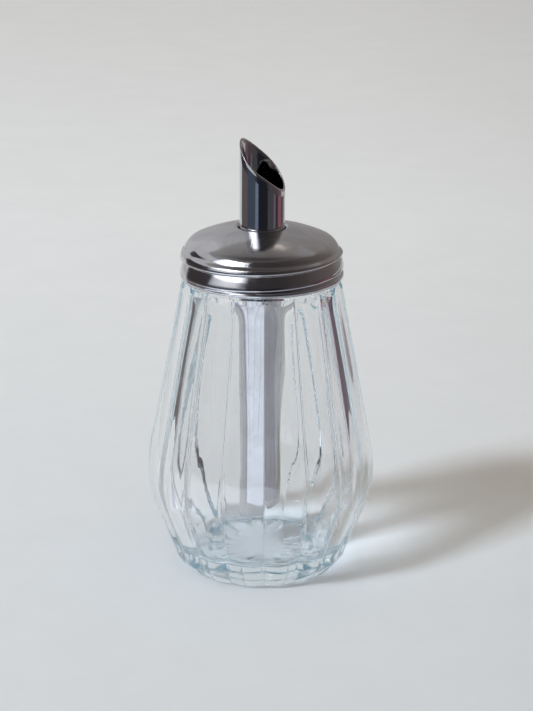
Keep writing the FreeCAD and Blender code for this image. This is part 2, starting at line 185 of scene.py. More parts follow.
def mesh_from_grid(name, grid, closed_rows=False, poles=()):
    """Makes an object from a (rows, columns, 3) grid in millimetres.

    poles holds ("first" or "last", height) pairs, which close that row with a fan.
    """
    rows, columns = grid.shape[:2]
    points = grid.reshape(-1, 3)
    faces = grid_faces(rows, columns, closed_rows)
    sizes = np.full(len(faces), 4)
    corners = faces.ravel()
    ring = np.arange(columns)
    following = np.roll(ring, -1)
    for pole, height in poles:
        points = np.vstack([points, [0.0, 0.0, height]])
        tip = np.full(columns, len(points) - 1)
        if pole == "first":
            fan = [tip, following, ring]
        else:
            fan = [tip, (rows - 1) * columns + ring, (rows - 1) * columns + following]
        corners = np.r_[corners, np.stack(fan, 1).ravel()]
        sizes = np.r_[sizes, np.full(columns, 3)]
    mesh = bpy.data.meshes.new(name)
    mesh.vertices.add(len(points))
    mesh.vertices.foreach_set("co", (points * MM).ravel())
    mesh.loops.add(len(corners))
    mesh.loops.foreach_set("vertex_index", corners.astype(np.int32))
    mesh.polygons.add(len(sizes))
    mesh.polygons.foreach_set("loop_start", np.r_[0, np.cumsum(sizes)[:-1]].astype(np.int32))
    mesh.polygons.foreach_set("use_smooth", np.ones(len(sizes), bool))
    mesh.update(calc_edges=True)
    mesh.validate()
    piece = bpy.data.objects.new(name, mesh)
    bpy.context.collection.objects.link(piece)
    triangles = int((sizes - 2).sum())
    print(name, "grid", rows, "x", columns, "triangles", triangles)
    return piece


# %% [markdown]
# ## The jar
#
# The belly is wider than the mouth, so the glass is pressed to a small blank first and then
# blown out in a mould. Outside it has sixteen shallow convex lobes that run from the heel to
# the shoulder, and the inside follows them a little more softly. Each lobe works as a weak
# lens, so the surface has to be smooth and exact, or the tube behind it would look torn.
# A single closed grid does this: it starts under the base, goes up the outside, over the lip
# and down the inside to the middle of the floor.

# %% Jar: crown outline, from the foot to the lobes' upper end
bulge_centre = np.array([BULGE_RADIUS - BULGE_ROUNDING, BULGE_HEIGHT])
heel_top = np.array([HEEL_RADIUS, HEEL_HEIGHT])
shoulder = np.array([SHOULDER_RADIUS, SHOULDER_HEIGHT])


def bulge_side(low_end, high_end, rounding):
    """A straight taper, a round bulge and a straight cone, each tangent to the next."""
    low = touch(low_end, bulge_centre, rounding, 1)
    high = touch(high_end, bulge_centre, rounding, -1)
    first = math.degrees(math.atan2(*(low - bulge_centre)[::-1]))
    last = math.degrees(math.atan2(*(high - bulge_centre)[::-1]))
    return low, arc(bulge_centre, rounding, first, last, 60), high


low_touch, bulge_arc, high_touch = bulge_side(heel_top, shoulder, BULGE_ROUNDING)
print("widest crown radius", round(float(bulge_arc[:, 0].max()), 2))

heel_share = np.linspace(0.0, 1.0, 15)
heel_band = np.stack([
    FOOT_RADIUS + (HEEL_RADIUS - FOOT_RADIUS) * np.sin(heel_share * math.pi / 2),
    heel_share * HEEL_HEIGHT,
], 1)

# %% Jar: lobes round the axis
# A crease is a rounded dip between two lobes, with a narrow groove along its bottom.
PER_LOBE = 22
CREASE_ROUNDING = 0.04
GROOVE_SHARE = 0.16
GROOVE_WIDTH = 0.055
lobe_step = np.sin(np.linspace(-0.5, 0.5, PER_LOBE + 1)[:-1] * math.pi)
across_lobe = np.tile(lobe_step, LOBES)
lobe_middle = np.repeat((np.arange(LOBES) + 0.5) / LOBES, PER_LOBE)
around = 2 * math.pi * (lobe_middle + across_lobe / (2 * LOBES))
around = around - math.pi / 2 + math.radians(LOBE_TURN)
print("columns round the jar:", len(around))

to_crease = 1 - np.abs(across_lobe)
rounded = np.sqrt(to_crease ** 2 + CREASE_ROUNDING ** 2)
dip = np.clip(1 + CREASE_ROUNDING - rounded, 0, 1) ** 2
crease_share = dip + GROOVE_SHARE * np.exp(-(to_crease / GROOVE_WIDTH) ** 2)


def turned(outline, lobed):
    """Grid with radius = outline radius * (1 - depth * crease share); lobed is 0 to 1 a row."""
    share = np.asarray(lobed)[:, None] * crease_share[None, :]
    radius = outline[:, :1] * (1 - LOBE_DEPTH * share)
    height = np.broadcast_to(outline[:, 1:], radius.shape)
    return np.stack([radius * np.cos(around), radius * np.sin(around), height], 2)


# %% Jar: base, heel, taper and bulge
POLE_RADIUS = 0.4
PUNT_RADIUS = 19.0
PUNT_RAMP = 3.0
RING_INSIDE = 22.4
FOOT_ROUNDING = 0.35
UNDER_LOBES_FROM = 20.0
UNDER_LOBES_OVER = 5.0
OUTER_SPACING = 0.95

punt = run((POLE_RADIUS, PUNT_DEPTH), (PUNT_RADIUS, PUNT_DEPTH), 8)
ramp_share = np.linspace(0.0, 1.0, 8)[1:]
ramp = np.stack([
    PUNT_RADIUS + PUNT_RAMP * ramp_share,
    PUNT_DEPTH * (0.5 + 0.5 * np.cos(ramp_share * math.pi)),
], 1)
under = np.vstack([
    punt,
    ramp,
    run((RING_INSIDE, 0.0), (FOOT_RADIUS - 2 * FOOT_ROUNDING, 0.0), 5),
    [[FOOT_RADIUS - FOOT_ROUNDING, 0.08]],
])
under_lobed = np.clip((under[:, 0] - UNDER_LOBES_FROM) / UNDER_LOBES_OVER, 0, 1)

lower = np.vstack([heel_band[1:], run(heel_top, low_touch, 22)[1:], bulge_arc[1:]])
lower = np.vstack([[[FOOT_RADIUS + 0.1, 0.3]], even(lower, OUTER_SPACING)])
lower[1:] = soften(lower[1:], 1)
print("rows under the base", len(under), "and up to the bulge", len(lower))

# %% Jar: the upper cone ends in a scalloped edge, where a small facet cuts each lobe
facet_slope = (SHOULDER_RADIUS - COLLAR_RADIUS) / BEVEL_HEIGHT
cone_slope = (high_touch[0] - shoulder[0]) / (shoulder[1] - high_touch[1])
crown_factor = 1 - LOBE_DEPTH * crease_share
# The lobe's radius meets the facet's where crown * factor = collar + slope * (top - height).
facet_reach = COLLAR_RADIUS + facet_slope * SHOULDER_HEIGHT
cone_reach = shoulder[0] + cone_slope * shoulder[1]
scallop = (facet_reach - crown_factor * cone_reach) / (facet_slope - crown_factor * cone_slope)
cone_share = np.r_[np.linspace(0.0, 0.97, 50), 0.985, 0.9955, 1.0][1:, None]
cone_height = high_touch[1] + (scallop[None, :] - high_touch[1]) * cone_share
cone_radius = (shoulder[0] + cone_slope * (shoulder[1] - cone_height)) * crown_factor
cone = np.stack([cone_radius * np.cos(around), cone_radius * np.sin(around), cone_height], 2)

facet_share = np.array([0.08, 0.3, 0.5, 0.7, 0.92, 1.0])[:, None]
facet_height = scallop[None, :] + (SHOULDER_HEIGHT - scallop[None, :]) * facet_share
facet_radius = COLLAR_RADIUS + facet_slope * (SHOULDER_HEIGHT - facet_height)
facet = np.stack([facet_radius * np.cos(around), facet_radius * np.sin(around), facet_height], 2)
print("scallop from", round(float(scallop.min()), 2), "to", round(float(scallop.max()), 2))

# %% Jar: collar, neck, lip and the inside
COLLAR_ROUNDING = 0.2
MOUTH_ROUNDING = 0.9
INNER_SPACING = 1.15

round_up = lip_top - math.sqrt(
    LIP_ROUNDING ** 2 - (MOUTH_RADIUS + LIP_ROUNDING - NECK_RADIUS) ** 2
)
collar_edge = COLLAR_RADIUS - COLLAR_ROUNDING, COLLAR_TOP - COLLAR_ROUNDING
collar = np.vstack([
    [[COLLAR_RADIUS, SHOULDER_HEIGHT + 0.08], [COLLAR_RADIUS, COLLAR_TOP - COLLAR_ROUNDING]],
    arc(collar_edge, COLLAR_ROUNDING, 0, 90, 4)[1:],
    [[NECK_RADIUS + 0.1, COLLAR_TOP], [NECK_RADIUS, COLLAR_TOP + 0.12]],
    run((NECK_RADIUS, COLLAR_TOP + 0.5), (NECK_RADIUS, round_up), 6),
])
lip_middle = NECK_RADIUS - LIP_ROUNDING
lip_end = math.degrees(math.acos((MOUTH_RADIUS + MOUTH_ROUNDING - lip_middle) / LIP_ROUNDING))
lip = arc((lip_middle, round_up), LIP_ROUNDING, 0, lip_end, 10)[1:]
lip_inside = arc(
    (MOUTH_RADIUS + MOUTH_ROUNDING, lip[-1, 1] - MOUTH_ROUNDING), MOUTH_ROUNDING, 90, 180, 6
)[1:]

inner_heel = heel_top - [GLASS_WALL, 0]
inner_shoulder = shoulder - [GLASS_WALL, 0]
inner_low, inner_arc, inner_high = bulge_side(
    inner_heel, inner_shoulder, BULGE_ROUNDING - GLASS_WALL
)
lean = (inner_low - inner_heel) / np.linalg.norm(inner_low - inner_heel)
half_turn = math.atan2(lean[1], lean[0]) / 2
floor_corner = inner_heel + lean * (FLOOR_HEIGHT - HEEL_HEIGHT) / lean[1]
floor_end = floor_corner - [FLOOR_ROUNDING * math.tan(half_turn), 0]
floor_round = arc(
    floor_end + [0, FLOOR_ROUNDING], FLOOR_ROUNDING, -90, 2 * math.degrees(half_turn) - 90, 16
)
inside = np.vstack([
    run((MOUTH_RADIUS, lip_inside[-1, 1]), (MOUTH_RADIUS, SHOULDER_HEIGHT + NECK_STEP), 12)[1:],
    run((MOUTH_RADIUS, SHOULDER_HEIGHT + NECK_STEP), inner_shoulder, 6)[1:],
    run(inner_shoulder, inner_high, 50)[1:],
    inner_arc[::-1][1:],
    floor_round[::-1],
    run(floor_end, (POLE_RADIUS, FLOOR_HEIGHT), 20)[1:],
])
inside = soften(even(inside, INNER_SPACING), 3)
print("rows inside the jar:", len(inside))


def smooth_step(value):
    """0 below 0, 1 above 1, and 3 v^2 - 2 v^3 between."""
    value = np.clip(value, 0.0, 1.0)
    return value * value * (3 - 2 * value)


# %% Jar: unevenness of the blown glass
# Each wave is (count round the jar, rise in radians a millimetre, start in radians).
WAVES = (
    (3, 0.021, 0.4), (5, 0.042, 2.1), (8, -0.034, 4.0),
    (11, 0.055, 1.1), (17, -0.05, 5.2), (23, 0.08, 3.3),
)
FLUTE_UNEVENNESS = 0.9


def uneven(height, size):
    """Radial waves, in mm: a sum of cos(count * angle + rise * height + start).

    Their usual reach is size.
    """
    total = np.zeros((len(height), len(around)))
    for count, rise, start in WAVES:
        total += np.cos(count * around[None, :] + rise * height[:, None] + start)
    return total * size / math.sqrt(len(WAVES) / 2)


def flutes(share, depth):
    """Lifts of a fluted base, in mm: depth * cos(lobes * angle), made uneven, where share is 1."""
    wave = np.cos(LOBES * (around - math.radians(LOBE_TURN) + math.pi / 2))
    wave = wave + FLUTE_UNEVENNESS * uneven(np.zeros(1), 1.0)[0]
    return depth * np.asarray(share)[:, None] * wave[None, :]


def pushed_out(grid, by, lift):
    """The same grid with each point moved out from the axis and up, in mm."""
    radius = np.hypot(grid[..., 0], grid[..., 1])
    factor = 1 + by / np.maximum(radius, 1.0)
    return np.stack([grid[..., 0] * factor, grid[..., 1] * factor, grid[..., 2] + lift], 2)


# %% Jar: where the lobes, waves and flutes reach
# Each reach is (radius or height where it starts, distance over which it grows).
INNER_WAVE = 0.05
OUTER_WAVE = 0.03
FLOOR_FLUTES = 0.14
BASE_FLUTES = 0.30
INNER_WAVE_REACH = (4.0, 10.0)
OUTER_WAVE_RISE = 8.0
FLOOR_FLUTE_REACH = (11.0, 11.0)
FLOOR_FLUTE_RISE = 3.0
BASE_FLUTE_REACH = (10.0, 9.0)
BASE_FLUTE_END = (21.5, 3.0)


def grown(value, reach):
    """0 up to the reach's start, then growing smoothly to 1 over its distance."""
    return smooth_step((value - reach[0]) / reach[1])


inner_radius, inner_height = inside.T
below_shoulder = smooth_step((SHOULDER_HEIGHT - inner_height) / INNER_FADE)
inner_lobed = INNER_LOBES * below_shoulder * grown(
    inner_radius, (FLOOR_PLAIN, HEEL_RADIUS - GLASS_WALL - FLOOR_PLAIN)
)
inner_share = below_shoulder * grown(inner_radius, INNER_WAVE_REACH)
outer_share = smooth_step(lower[:, 1] / OUTER_WAVE_RISE)
inner_floor = grown(inner_radius, FLOOR_FLUTE_REACH) * (
    1 - grown(inner_height, (FLOOR_HEIGHT, FLOOR_FLUTE_RISE))
)
under_share = grown(under[:, 0], BASE_FLUTE_REACH) * smooth_step(
    (BASE_FLUTE_END[0] - under[:, 0]) / BASE_FLUTE_END[1]
)

# %% Jar: one closed grid
plain = np.vstack([collar, lip, lip_inside])
inner_waves = uneven(inner_height, INNER_WAVE) * inner_share[:, None]
outer_waves = (uneven(lower[:, 1], OUTER_WAVE) - OUTER_WAVE) * outer_share[:, None]
jar_grid = np.concatenate([
    pushed_out(turned(under, under_lobed), 0.0, flutes(under_share, BASE_FLUTES)),
    pushed_out(turned(lower, np.ones(len(lower))), outer_waves, 0.0),
    cone,
    facet,
    turned(plain, np.zeros(len(plain))),
    pushed_out(turned(inside, inner_lobed), inner_waves, flutes(inner_floor, FLOOR_FLUTES)),
])
jar_piece = mesh_from_grid(
    "jar_glass", jar_grid, poles=[("first", PUNT_DEPTH), ("last", FLOOR_HEIGHT)]
)

# %% [markdown]
# ## The lid
#
# The lid is one disc of stainless sheet, pressed into a shallow dome with a skirt. The screw
# thread is rolled into the skirt from inside, so outside it shows as broad round ribs that climb
# to the right, with a narrow groove between them. The lower edge is curled to a bead, and the
# hole in the dome is turned down round the tube. As a grid the sheet's outline goes up one face
# and back down the other, and the thread moves both faces of the skirt together, as rolling does.

# %% Lid: sizes
SHEET = 0.5
RIB_DEPTH = 1.15
GROOVE_DEPTH = 0.2
SKIRT_RADIUS = lid_high.x / MM - RIB_DEPTH
SHOULDER_ROUNDING = 5.5
DOME_ROUNDING = 56.0
GRIP_GAP = 0.35
GRIP_RADIUS = tube_radius + GRIP_GAP
GRIP_DEPTH = 5.0
GRIP_END = 0.1
EDGE_ROUNDING = 0.9

hole_edge = GRIP_RADIUS + EDGE_ROUNDING
dome_centre = np.array([0.0, dome_top - math.sqrt(DOME_ROUNDING ** 2 - hole_edge ** 2)])
shoulder_across = SKIRT_RADIUS - SHOULDER_ROUNDING
shoulder_centre = np.array([
    shoulder_across,
    dome_centre[1] + math.sqrt((DOME_ROUNDING - SHOULDER_ROUNDING) ** 2 - shoulder_across ** 2),
])
meet_angle = math.degrees(math.atan2(shoulder_centre[1] - dome_centre[1], shoulder_across))
curl_radius = (RIB_DEPTH + SHEET) / 2
curl_centre = np.array([SKIRT_RADIUS - SHEET + curl_radius, lid_bottom + curl_radius])
print("lid shoulder centre", shoulder_centre.round(2), "curl radius", round(curl_radius, 2))


# %% Lid: sheet outline
def sheet_face(depth):
    """The lid's outline at a depth under its outer face, from the hole's edge out to the skirt."""
    edge_angle = math.degrees(math.acos(hole_edge / DOME_ROUNDING))
    return np.vstack([
        arc((hole_edge, dome_top - EDGE_ROUNDING), EDGE_ROUNDING - depth, 180, 92, 7),
        arc(dome_centre, DOME_ROUNDING - depth, edge_angle, meet_angle, 26),
        arc(shoulder_centre, SHOULDER_ROUNDING - depth, meet_angle, 0, 26)[1:],
    ])


skirt_top = shoulder_centre[1]
outer_top = sheet_face(0.0)
inner_top = sheet_face(SHEET)
grip_low = dome_top - GRIP_DEPTH
grip_heights = grip_low + GRIP_END, dome_top - EDGE_ROUNDING - GRIP_END
outer_grip = run((GRIP_RADIUS, grip_heights[0]), (GRIP_RADIUS, grip_heights[1]), 6)
inner_grip = run((GRIP_RADIUS + SHEET, grip_heights[1]), (GRIP_RADIUS + SHEET, grip_heights[0]), 6)
curl_start = math.degrees(math.acos((SKIRT_RADIUS - curl_centre[0]) / curl_radius))
skirt_low = curl_centre[1] + curl_radius * math.sin(math.radians(curl_start))
outer_skirt = run((SKIRT_RADIUS, skirt_top), (SKIRT_RADIUS, skirt_low), 52)[1:]
curl = arc(curl_centre, curl_radius, curl_start, -180, 20)[1:]
skirt_inside = SKIRT_RADIUS - SHEET
inner_skirt = run((skirt_inside, curl_centre[1]), (skirt_inside, skirt_top), 52)[1:]
lid_outline = np.vstack([
    outer_grip, outer_top, outer_skirt, curl, inner_skirt, inner_top[::-1][1:], inner_grip,
])
print("rows of the lid's outline:", len(lid_outline))

# %% Lid: the rolled thread
THREAD_PITCH = 5.4
THREAD_LIFT = 1.35
THREAD_TURNS = 1.56
THREAD_START = math.pi
THREAD_FADE = 0.08
RIB_UNDERSIDE = 1.1
RIB_TOP = 2.5
PUSH_INSIDE = 3.0
PUSH_RISE = 0.8
PUSH_FADE = 1.6
LID_COLUMNS = 360


def rib_push(height, angle):
    """How far rolling pushes the skirt out.

    Each rib falls as 1 - t^1.6 above its crest and as 1 - t^2 below it.
    """
    turn = np.mod(angle - THREAD_START, 2 * math.pi) / (2 * math.pi)
    share = np.zeros(np.broadcast_shapes(height.shape, angle.shape))
    for lap in (-1, 0, 1):
        along = turn + lap
        over_crest = height - (lid_bottom + THREAD_LIFT + THREAD_PITCH * along)
        above = np.clip(over_crest / (THREAD_PITCH - RIB_UNDERSIDE), 0, 1) ** 1.6
        below = np.clip(-over_crest / RIB_UNDERSIDE, 0, 1) ** 2
        fade = smooth_step((THREAD_TURNS - along) / THREAD_FADE)
        share = np.maximum(share, (1 - above) * (1 - below) * fade)
    return (RIB_DEPTH + GROOVE_DEPTH) * share - GROOVE_DEPTH


lid_angle = np.linspace(0, 2 * math.pi, LID_COLUMNS, endpoint=False)
lid_height = lid_outline[:, 1:]
on_skirt = (lid_outline[:, :1] > SKIRT_RADIUS - PUSH_INSIDE) & (lid_height > lid_bottom)
push_share = (
    on_skirt
    * smooth_step((lid_height - curl_centre[1]) / PUSH_RISE)
    * smooth_step((skirt_top + RIB_TOP - lid_height) / PUSH_FADE)
)
lid_radius = lid_outline[:, :1] + rib_push(lid_height, lid_angle[None, :]) * push_share
lid_radius = np.minimum(lid_radius, SKIRT_RADIUS + RIB_DEPTH)
lid_grid = np.stack([
    lid_radius * np.cos(lid_angle),
    lid_radius * np.sin(lid_angle),
    np.broadcast_to(lid_height, lid_radius.shape),
], 2)
lid_piece = mesh_from_grid("steel_lid", lid_grid[::-1], closed_rows=True)

# %% [markdown]
# ## The tube
#
# The tube is drawn steel, cut on a slant at both ends, its spout cut finished by hand. The
# outline of its wall is a long narrow loop, and the height of each end depends on the angle
# round the tube. A flat slanted cut is height = middle + lean * cos(angle); a hand-held tube
# against a belt also gets small second and third waves, so the edge is not quite flat.

# %% Tube: wall outline with two slanted ends
TUBE_WALL = 0.6
SPOUT_HALF_DROP = 8.45
SPOUT_MIDDLE = spout_tip - SPOUT_HALF_DROP
SPOUT_LEAN = 7.84
SPOUT_TURN = -22.8
SPOUT_WAVES = ((2, 0.3, 108.0), (3, 0.5, -142.0))
INLET_DROP = 5.8
EDGE = 0.25
EDGE_ANGLES = (0.5, 1.05, 1.57)
TUBE_COLUMNS = 160
TUBE_ROWS = 40

tube_angle = np.linspace(0, 2 * math.pi, TUBE_COLUMNS, endpoint=False)
bore = tube_radius - TUBE_WALL


def spout_height(radius):
    """Height of the spout's edge: middle - lean * cos(angle - turn), plus hand-made waves."""
    share = radius / tube_radius
    height = SPOUT_MIDDLE - SPOUT_LEAN * share * np.cos(tube_angle - math.radians(SPOUT_TURN))
    for count, size, turn in SPOUT_WAVES:
        height = height + size * share * np.cos(count * tube_angle + math.radians(turn))
    return height


def inlet_height(radius):
    """Height of the lower cut: lowest plus drop * (1 + cos(angle)) / 2 at the tube's outside."""
    return inlet_tip + INLET_DROP * (1 + radius / tube_radius * np.cos(tube_angle)) / 2


def tube_row(radius, share, inset):
    """One ring of the tube: share 0 is the inlet, 1 the spout; inset keeps it short of a cut."""
    top = spout_height(radius) - inset
    bottom = inlet_height(radius) + inset
    height = bottom + (top - bottom) * share
    return np.stack([radius * np.cos(tube_angle), radius * np.sin(tube_angle), height], 1)


def rounded_edge(radius, inward, share, angles):
    """Rings that round a cut edge: they move in by edge * (1 - cos) as they near the cut."""
    return [
        tube_row(radius + inward * EDGE * (1 - math.cos(a)), share, EDGE * (1 - math.sin(a)))
        for a in angles
    ]


outer_rows = [tube_row(tube_radius, share, EDGE) for share in np.linspace(0, 1, TUBE_ROWS)]
inner_rows = [tube_row(bore, share, EDGE) for share in np.linspace(1, 0, TUBE_ROWS)]
opening = EDGE_ANGLES
closing = EDGE_ANGLES[::-1]
tube_grid = np.stack(
    outer_rows
    + rounded_edge(tube_radius, -1, 1.0, opening)
    + rounded_edge(bore, 1, 1.0, closing)
    + inner_rows
    + rounded_edge(bore, 1, 0.0, opening)
    + rounded_edge(tube_radius, -1, 0.0, closing)
)
tube_piece = mesh_from_grid("steel_tube", tube_grid, closed_rows=True)

# %% [markdown]
# ## Finishes
#
# Three finishes cover the object. The glass is clear with a faint green-blue, and the mould
# leaves it a little uneven along its height. The lid is bright pressed steel with fine turning
# lines, and the tube is polished nearly to a mirror. All of it has been handled, so smudges and
# hairline scratches come from node groups that the metals and the glass share.

# %% Helpers for node trees
def new_material(name):
    """A material with its shader, nodes and links ready."""
    material = bpy.data.materials.new(name)
    material.use_nodes = True
    return material, material.node_tree.nodes, material.node_tree.links


def join(links, *pairs):
    """Links each (from socket, to socket) pair."""
    for start, end in pairs:
        links.new(start, end)


def new_group(name, inputs, outputs):
    """A shader node group with float inputs (name, default) and outputs, and its two end nodes."""
    tree = bpy.data.node_groups.new(name, "ShaderNodeTree")
    tree.interface.new_socket("Vector", in_out="INPUT", socket_type="NodeSocketVector")
    for label, default in inputs:
        socket = tree.interface.new_socket(label, in_out="INPUT", socket_type="NodeSocketFloat")
        socket.default_value = default
    for label in outputs:
        tree.interface.new_socket(label, in_out="OUTPUT", socket_type="NodeSocketFloat")
    return tree, tree.nodes.new("NodeGroupInput"), tree.nodes.new("NodeGroupOutput")


def add(nodes, kind, **values):
    """A new node with its properties set; a dictionary called sockets sets its inputs."""
    node = nodes.new(kind)
    for key, value in values.pop("sockets", {}).items():
        node.inputs[key].default_value = value
    for key, value in values.items():
        setattr(node, key, value)
    return node


# %% [markdown]
# ### Smudges and scratches
#
# Fingers leave soft cloudy patches, and wiping leaves hairlines that run in a few directions.
# A cloud is a noise whose middle values are spread out. A hairline is the narrow band where a
# long stretched noise crosses its middle value, kept only where a second noise is high.

# %% Shared group: smudges
smudges, start, end = new_group("handling_smudges", [("Size", 60.0)], ["Smudge"])
cloud = add(
    smudges.nodes, "ShaderNodeTexNoise",
    sockets={"Detail": 4.0, "Roughness": 0.6, "Distortion": 0.8},
)
spread = add(smudges.nodes, "ShaderNodeMapRange", sockets={"From Min": 0.42, "From Max": 0.68})
join(
    smudges.links,
    (start.outputs["Vector"], cloud.inputs["Vector"]),
    (start.outputs["Size"], cloud.inputs["Scale"]),
    (cloud.outputs["Fac"], spread.inputs["Value"]),
    (spread.outputs["Result"], end.inputs["Smudge"]),
)

# %% Shared group: hairline scratches
# Each lay is a turn in radians about the three axes.
HAIRLINE_LAYS = ((0.35, 0.2, 0.6), (-0.5, 0.7, -0.4))
hairlines, start, end = new_group(
    "hairline_scratches", [("Size", 150.0), ("Width", 0.012)], ["Line"]
)
nodes = hairlines.nodes
lines = []
for turn in HAIRLINE_LAYS:
    lay = add(nodes, "ShaderNodeMapping", sockets={"Rotation": turn, "Scale": (1.0, 0.12, 0.4)})
    strand = add(nodes, "ShaderNodeTexNoise", sockets={"Detail": 1.0, "Distortion": 0.3})
    away = add(nodes, "ShaderNodeMath", operation="SUBTRACT", sockets={1: 0.5})
    distance = add(nodes, "ShaderNodeMath", operation="ABSOLUTE")
    thin = add(
        nodes, "ShaderNodeMapRange", sockets={"From Min": 0.0, "To Min": 1.0, "To Max": 0.0}
    )
    where = add(nodes, "ShaderNodeTexNoise", sockets={"Scale": 90.0, "Detail": 0.0})
    keep = add(nodes, "ShaderNodeMapRange", sockets={"From Min": 0.55, "From Max": 0.62})
    both = add(nodes, "ShaderNodeMath", operation="MULTIPLY")
    join(
        hairlines.links,
        (start.outputs["Vector"], lay.inputs["Vector"]),
        (lay.outputs["Vector"], strand.inputs["Vector"]),
        (start.outputs["Size"], strand.inputs["Scale"]),
        (strand.outputs["Fac"], away.inputs[0]),
        (away.outputs[0], distance.inputs[0]),
        (distance.outputs[0], thin.inputs["Value"]),
        (start.outputs["Width"], thin.inputs["From Max"]),
        (lay.outputs["Vector"], where.inputs["Vector"]),
        (where.outputs["Fac"], keep.inputs["Value"]),
        (thin.outputs["Result"], both.inputs[0]),
        (keep.outputs["Result"], both.inputs[1]),
    )
    lines.append(both)
either = add(nodes, "ShaderNodeMath", operation="MAXIMUM")
join(
    hairlines.links,
    (lines[0].outputs[0], either.inputs[0]),
    (lines[1].outputs[0], either.inputs[1]),
    (either.outputs[0], end.inputs["Line"]),
)
print("shared groups:", smudges.name, hairlines.name)


def place_group(nodes, links, tree, vector, **values):
    """Puts a shared group into a material with its own values."""
    node = add(nodes, "ShaderNodeGroup", node_tree=tree)
    for key, value in values.items():
        node.inputs[key].default_value = value
    links.new(vector, node.inputs["Vector"])
    return node


# %% [markdown]
# ### Glass
#
# Clear glass lets light through and bends it, so its colour comes from depth: a volume that
# takes a little red out, which only shows where light travels far through the rim and base.
# Drawn-out unevenness along the height is a noise stretched upwards, put in as a faint bump.

# %% Clear glass
glass, nodes, links = new_material("clear_pressed_glass")
shader = nodes["Principled BSDF"]
shader.inputs["Base Color"].default_value = (1.0, 1.0, 1.0, 1.0)
shader.inputs["Metallic"].default_value = 0.0
shader.inputs["Roughness"].default_value = 0.0
shader.inputs["IOR"].default_value = 1.5
shader.inputs["Transmission Weight"].default_value = 1.0
absorb = add(
    nodes, "ShaderNodeVolumeAbsorption",
    sockets={"Color": (0.42, 0.80, 0.93, 1.0), "Density": 4.8},
)
outlet = nodes["Material Output"]
links.new(absorb.outputs["Volume"], outlet.inputs["Volume"])

place = add(nodes, "ShaderNodeTexCoord")
drawn = add(nodes, "ShaderNodeMapping", sockets={"Scale": (1.0, 1.0, 0.06)})
streak = add(
    nodes, "ShaderNodeTexNoise", sockets={"Scale": 420.0, "Detail": 2.0, "Distortion": 0.2}
)
hair = place_group(nodes, links, hairlines, place.outputs["Object"], Size=130.0, Width=0.006)
lower = add(nodes, "ShaderNodeMath", operation="MULTIPLY_ADD", sockets={1: -0.25})
ripple = add(nodes, "ShaderNodeBump", sockets={"Strength": 1.0, "Distance": 0.00001})
join(
    links,
    (place.outputs["Object"], drawn.inputs["Vector"]),
    (drawn.outputs["Vector"], streak.inputs["Vector"]),
    (hair.outputs["Line"], lower.inputs[0]),
    (streak.outputs["Fac"], lower.inputs[2]),
    (lower.outputs[0], ripple.inputs["Height"]),
    (ripple.outputs["Normal"], shader.inputs["Normal"]),
)

# %% Glass shadows: light goes through, less so where it meets the glass at a flat angle
rays = add(nodes, "ShaderNodeLightPath")
slant_view = add(nodes, "ShaderNodeLayerWeight", sockets={"Blend": 0.5})
passing = add(
    nodes, "ShaderNodeMapRange",
    sockets={"From Min": 0.1, "From Max": 0.85, "To Min": 0.9, "To Max": 0.1},
)
clear_shadow = add(nodes, "ShaderNodeBsdfTransparent")
either_way = add(nodes, "ShaderNodeMixShader")
join(
    links,
    (slant_view.outputs["Facing"], passing.inputs["Value"]),
    (passing.outputs["Result"], clear_shadow.inputs["Color"]),
    (rays.outputs["Is Shadow Ray"], either_way.inputs["Fac"]),
    (shader.outputs["BSDF"], either_way.inputs[1]),
    (clear_shadow.outputs["BSDF"], either_way.inputs[2]),
    (either_way.outputs["Shader"], outlet.inputs["Surface"]),
)
print(glass.name, "with", len(nodes), "nodes")

# %% [markdown]
# ### Steel
#
# Both metals are the same stainless steel with different polish. The lid was spun against a
# buff, which leaves rings round the axis: a noise of the distance from the axis plus the
# height draws them on the dome and on the skirt alike. The tube was polished while it turned,
# so it has the same rings, only much fainter.

